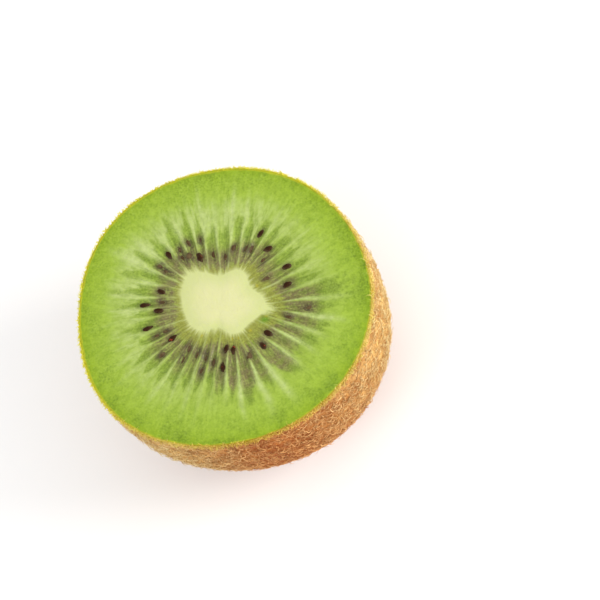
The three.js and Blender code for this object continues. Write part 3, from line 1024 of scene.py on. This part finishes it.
def grow(name, count, seed, zone, size, lift, turn, rows, swirl, tones):
    """Hairs of one kind. zone is the lowest and highest root, size the shortest and longest hair and its
    girth, lift the range of angles above the skin, turn the range of the whole bend, swirl how far
    neighbours share a heading, and tones the range of lightness."""
    chance = np.random.default_rng(seed)
    root, around, up, out = hair_roots(count, chance, *zone)
    x, y, z = root.T
    broad, narrow = noise(x * 0.42 + 60, y * 0.42 + z * 0.5, seed), noise(x * 0.9, z * 0.9 + y, seed + 1)
    shared = 2.6 * math.pi * (broad + 0.5 * narrow)
    loose = (chance.random(count) - 0.5) * 2 * math.pi
    facing = shared * swirl + loose * (1 - swirl)
    level = np.cos(facing)[:, None] * around + np.sin(facing)[:, None] * up
    raised = np.radians(lift[0] + (lift[1] - lift[0]) * chance.random(count))[:, None]
    heading = np.cos(raised) * level + np.sin(raised) * out
    downward = np.sin(raised) * level - np.cos(raised) * out
    sideways = np.cross(heading, downward)
    roll = (chance.random(count)[:, None] - 0.5) * math.radians(150)
    bending = np.cos(roll) * downward + np.sin(roll) * sideways
    lengths = size[0] + (size[1] - size[0]) * chance.random(count) ** 1.5
    girths = size[2] * (0.7 + 0.6 * chance.random(count))
    bend = np.radians(turn[0] + (turn[1] - turn[0]) * chance.random(count))
    t = np.linspace(0.1, 1, 10)[:, None]
    climb = np.sin(bend * t) / bend * np.sum(heading * out, axis=1)
    climb = climb + (1 - np.cos(bend * t)) / bend * np.sum(bending * out, axis=1)
    lengths = np.minimum(lengths, STANDING / np.maximum(climb.max(axis=0), 0.05))
    rings, first, last = hair_forms(root - 0.04 * out, heading, bending, lengths, girths, bend, rows)
    for points in (rings, first, last):
        points[..., 2] = np.clip(points[..., 2], 0.06, CUT_HEIGHT + 0.9)
    fuzz = closed_forms(name, rings, first, last)
    shades = tones[0] + (tones[1] - tones[0]) * chance.random(count)
    tone = np.broadcast_to(shades[:, None, None], rings.shape[:3])
    along = np.broadcast_to(np.linspace(0, 1, rows + 1)[None, :-1, None], rings.shape[:3])
    keep_values(fuzz, "tone", tone, tone[:, 0, 0], tone[:, 0, 0])
    keep_values(fuzz, "along", along, 0, 1)
    angle, height = np.arctan2(y - AXIS[1], x - AXIS[0]), z + 0.4 * noise(x, y, seed)
    # upper gives the hairs painted light on one side and painted shade on the other
    for value, share in (("fringe", edge_gold(angle, height)), ("upper", skin_tone_and_painted_light(angle, height))):
        share = np.broadcast_to(share[:, None, None], rings.shape[:3])
        keep_values(fuzz, value, share, share[:, 0, 0], share[:, 0, 0])
    return fuzz


def fuzz_material(settings):
    finish = Finish("kiwi_fuzz")
    light = finish.reckon("ADD", finish.times("tone", 0.7), finish.times("along", 0.5))
    light = finish.reckon("SUBTRACT", light, finish.spread(finish.grain(2.5), 0.3, 0.7, 0.0, 0.25))
    # lit and shaded copies of the hair colours: painted light and painted shade
    root = finish.blend("upper", settings.root, settings.upper_root)
    tip = finish.blend("upper", settings.low, settings.tip)
    tint = finish.blend(light, root, tip)
    tint = finish.blend(finish.times("fringe", 0.92), tint, settings.fringe)
    finish.shade(Base_Color=tint, Roughness=0.6, Specular_IOR_Level=0.12)
    return finish.material


class KIWI_OT_fuzz(bpy.types.Operator):
    """Grow the skin's down, curls, long hairs and locks, and the golden fringe along the cut"""

    bl_idname = "kiwi.fuzz"
    bl_label = "Fuzz"

    def execute(self, context):
        settings = context.scene.kiwi_fuzz
        material = fuzz_material(settings)
        whole = (1.5, CUT_HEIGHT - 0.1)
        low = (1.5, CUT_HEIGHT - 1.0)
        rim = (CUT_HEIGHT - 0.7, CUT_HEIGHT - 0.02)
        dark, mixed, light = (0.0, 0.5), (0.0, 0.7), (0.7, 1.0)
        kinds = (
            ("down", settings.down_count, 71, whole, (0.5, 1.0, 0.05), (10, 40), (20, 90), 2, 0.35, dark),
            ("curls", settings.curl_count, 73, whole, (0.9, 1.9, 0.06), (12, 40), (90, 200), 4, 0.2, mixed),
            ("long", settings.long_count, 77, whole, (1.0, 1.9, 0.055), (15, 50), (40, 120), 3, 0.25, mixed),
            ("locks", settings.lock_count, 83, low, (1.1, 2.4, 0.085), (25, 55), (80, 200), 5, 0.25, light),
            ("fringe", settings.fringe_count, 79, rim, (0.3, 1.1, 0.09), (30, 80), (20, 90), 3, 0.2, mixed),
        )
        for name, count, *looks in kinds:
            settle(grow("fuzz_" + name, count, *looks), material)
        return {"FINISHED"}


# ---- Stage ----
def direction(azimuth, elevation):
    """(cos a cos e, sin a cos e, sin e)."""
    a, e = math.radians(azimuth), math.radians(elevation)
    return Vector((math.cos(a) * math.cos(e), math.sin(a) * math.cos(e), math.sin(e)))


def area_light(name, azimuth, power, tint):
    """A square light that faces the fruit's middle."""
    light = bpy.data.lights.new(name, "AREA")
    light.shape = "SQUARE"
    light.size = LIGHT_SIZE
    light.energy = power
    light.color = tint
    lamp = bpy.data.objects.new(name, light)
    away = direction(azimuth, LIGHT_ELEVATION)
    lamp.location = Vector((0, 0, LIGHT_AIM)) + away * LIGHT_AWAY
    lamp.rotation_euler = away.to_track_quat("Z", "Y").to_euler()
    bpy.context.scene.collection.objects.link(lamp)


class KIWI_OT_stage(bpy.types.Operator):
    """Make the pale floor, the soft lights and the camera"""

    bl_idname = "kiwi.stage"
    bl_label = "Stage"

    def execute(self, context):
        settings = context.scene.kiwi_stage
        scene = context.scene
        self.make_floor(settings)
        area_light("key_light", 8, settings.key, (1, 0.97, 0.92))
        area_light("fill_light", 225, settings.fill, (1, 1, 1))
        world = bpy.data.worlds.new("surroundings")
        world.use_nodes = True
        sky = world.node_tree.nodes["Background"].inputs
        sky["Color"].default_value = (1, 1, 1, 1)
        sky["Strength"].default_value = settings.sky
        scene.world = world
        scene.view_settings.view_transform = "Standard"
        self.make_camera(scene)
        return {"FINISHED"}

    def make_floor(self, settings):
        """A square sheet, level with the scar's foot."""
        corners = [(x * FLOOR_HALF, y * FLOOR_HALF, 0) for x, y in ((-1, -1), (1, -1), (1, 1), (-1, 1))]
        mesh = bpy.data.meshes.new("floor")
        mesh.from_pydata(corners, [], [(0, 1, 2, 3)])
        floor = bpy.data.objects.new("floor", mesh)
        bpy.context.scene.collection.objects.link(floor)
        finish = Finish("floor_paint")
        mottle = finish.spread(finish.grain(40), 0.3, 0.7, 0.0, 0.04)
        tint = finish.blend(mottle, settings.floor, paint(225, 225, 225))
        finish.shade(Base_Color=tint, Roughness=0.9, Specular_IOR_Level=0.1)
        mesh.materials.append(finish.material)

    def make_camera(self, scene):
        """A long lens that looks down on the cut, swung from upright by the shortest turn."""
        back = direction(CAMERA_AZIMUTH, CAMERA_ELEVATION)
        swing = Vector((0, 0, 1)).rotation_difference(back).to_matrix()
        right, up = swing @ Vector((1, 0, 0)), swing @ Vector((0, 1, 0))
        aim = Vector((AXIS[0] + CAMERA_AIM[0], AXIS[1] + CAMERA_AIM[1], CUT_HEIGHT))
        aim = aim + CAMERA_SHIFT[0] * right + CAMERA_SHIFT[1] * up
        lens = bpy.data.cameras.new("camera")
        lens.lens = CAMERA_LENS
        lens.sensor_width = CAMERA_SENSOR
        lens.clip_start = 0.01
        lens.clip_end = 10
        camera = bpy.data.objects.new("camera", lens)
        facing = Matrix((right, up, back)).transposed().to_4x4()
        camera.matrix_world = Matrix.Translation((aim + CAMERA_AWAY * back) * MM) @ facing
        scene.collection.objects.link(camera)
        scene.camera = camera


# ---- Panel and run ----
STEPS = (KIWI_OT_stage, KIWI_OT_flesh, KIWI_OT_pips, KIWI_OT_skin, KIWI_OT_fuzz)


class KIWI_PT_panel(bpy.types.Panel):
    """Lists the pieces and their settings"""

    bl_idname = "KIWI_PT_panel"
    bl_label = "Kiwi fruit half"
    bl_space_type = "VIEW_3D"
    bl_region_type = "UI"
    bl_category = "Kiwi"

    def draw(self, context):
        for step in STEPS:
            self.layout.operator(step.bl_idname)
        for name, group in SETTINGS.items():
            box = self.layout.box()
            box.label(text=name.replace("_", " "))
            for setting in group.__annotations__:
                box.prop(getattr(context.scene, name), setting)


CLASSES = (*SETTINGS.values(), *STEPS, KIWI_PT_panel)


def register():
    for each in CLASSES:
        bpy.utils.register_class(each)
    for name, group in SETTINGS.items():
        setattr(bpy.types.Scene, name, PointerProperty(type=group))


def unregister():
    for name in SETTINGS:
        delattr(bpy.types.Scene, name)
    for each in reversed(CLASSES):
        bpy.utils.unregister_class(each)


def main():
    register()
    for step in STEPS:
        family, name = step.bl_idname.split(".")
        getattr(getattr(bpy.ops, family), name)()


if __name__ == "__main__":
    main()
